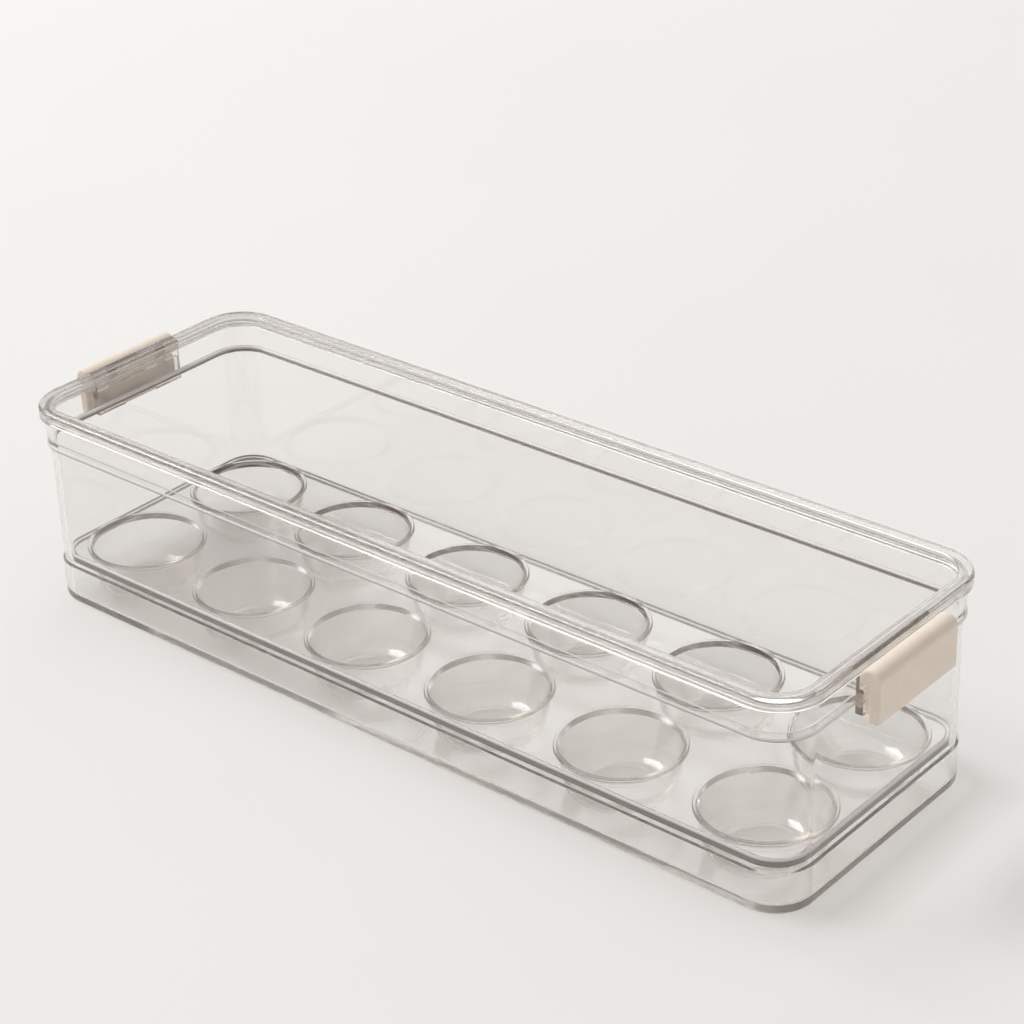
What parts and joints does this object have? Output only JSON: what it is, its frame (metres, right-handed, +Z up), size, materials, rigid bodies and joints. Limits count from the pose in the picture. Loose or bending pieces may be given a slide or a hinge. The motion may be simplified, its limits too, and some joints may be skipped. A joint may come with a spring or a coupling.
{
  "type": "egg holder tray",
  "caption": "Clear open-topped refrigerator bin with a lift-out tray of egg cups, a rim frame and a hinged cream clip on each end.",
  "frame": {"origin": "centre of the base, on the surface that the bin stands on", "axes": "+X along the length, +Y across the width, +Z up"},
  "size_m": [0.3266, 0.102, 0.0725],
  "materials": {
    "clear_bin": "polished clear moulded plastic",
    "clear_rim": "polished clear moulded plastic",
    "clear_tray": "polished clear moulded plastic",
    "clip": "satin cream moulded plastic",
    "pin": "drawn steel wire"
  },
  "bodies": {
    "bin": {"bin_body": "clear_bin"},
    "tray": {"egg_tray": "clear_tray"},
    "rim": {"rim_frame": "clear_rim", "right_clip_pin": "pin", "left_clip_pin": "pin"},
    "right_clip": {"right_clip": "clip"},
    "left_clip": {"left_clip": "clip"}
  },
  "joints": [
    {"name": "tray_lift", "type": "slide", "parent": "bin", "child": "tray", "axis": [0, 0, 1], "range_m": [0, 0.08]},
    {"name": "rim_lift", "type": "slide", "parent": "bin", "child": "rim", "axis": [0, 0, 1], "range_m": [0, 0.03]},
    {"name": "right_clip_hinge", "type": "hinge", "parent": "rim", "child": "right_clip", "pos_m": [0.1598, 0, 0.0684], "axis": [0, -1, 0], "range_deg": [0, 80]},
    {"name": "left_clip_hinge", "type": "hinge", "parent": "rim", "child": "left_clip", "pos_m": [-0.1598, 0, 0.0684], "axis": [0, 1, 0], "range_deg": [0, 80]}
  ]
}
